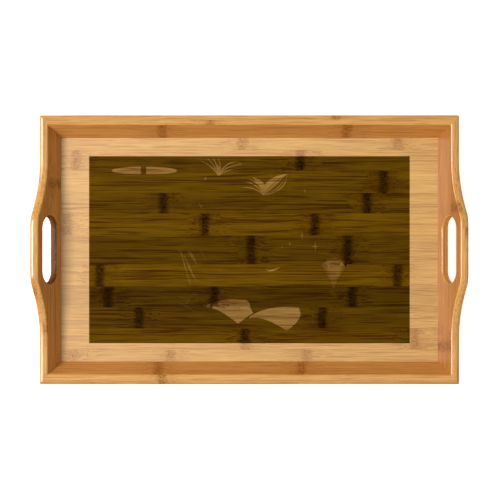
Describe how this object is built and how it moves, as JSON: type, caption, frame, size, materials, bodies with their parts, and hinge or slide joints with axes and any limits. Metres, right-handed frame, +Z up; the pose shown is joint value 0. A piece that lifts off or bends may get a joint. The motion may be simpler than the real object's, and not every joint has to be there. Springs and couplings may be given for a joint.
{
  "type": "promotional serving tray",
  "caption": "Flared rectangular bamboo serving tray with mitred boards, raised ends with hand slots, and a printed panel on its strip floor.",
  "frame": {"origin": "on the table, under the middle of the tray", "axes": "+X along the tray's length towards its right end, +Y towards its rear long board, +Z up"},
  "size_m": [0.4982, 0.307, 0.0525],
  "materials": {
    "floor_bamboo": "satin lacquer over natural bamboo strips",
    "print_ink": "dark olive ink under satin lacquer, the bamboo grain showing through",
    "board_bamboo": "satin lacquer over carbonised bamboo ply",
    "spline_wood": "bare hardwood, glued in"
  },
  "bodies": {
    "root": {"floor_strip_01": "floor_bamboo", "floor_strip_02": "floor_bamboo", "floor_strip_03": "floor_bamboo", "floor_strip_04": "floor_bamboo", "floor_strip_05": "floor_bamboo", "floor_strip_06": "floor_bamboo", "floor_strip_07": "floor_bamboo", "floor_strip_08": "floor_bamboo", "floor_strip_09": "floor_bamboo", "floor_strip_10": "floor_bamboo", "floor_strip_11": "floor_bamboo", "print_layer": "print_ink", "front_board_inner_ply": "board_bamboo", "front_board_outer_ply": "board_bamboo", "rear_board_inner_ply": "board_bamboo", "rear_board_outer_ply": "board_bamboo", "left_board_inner_ply": "board_bamboo", "left_board_outer_ply": "board_bamboo", "right_board_inner_ply": "board_bamboo", "right_board_outer_ply": "board_bamboo", "front_left_spline": "spline_wood", "front_right_spline": "spline_wood", "rear_left_spline": "spline_wood", "rear_right_spline": "spline_wood"}
  },
  "joints": []
}
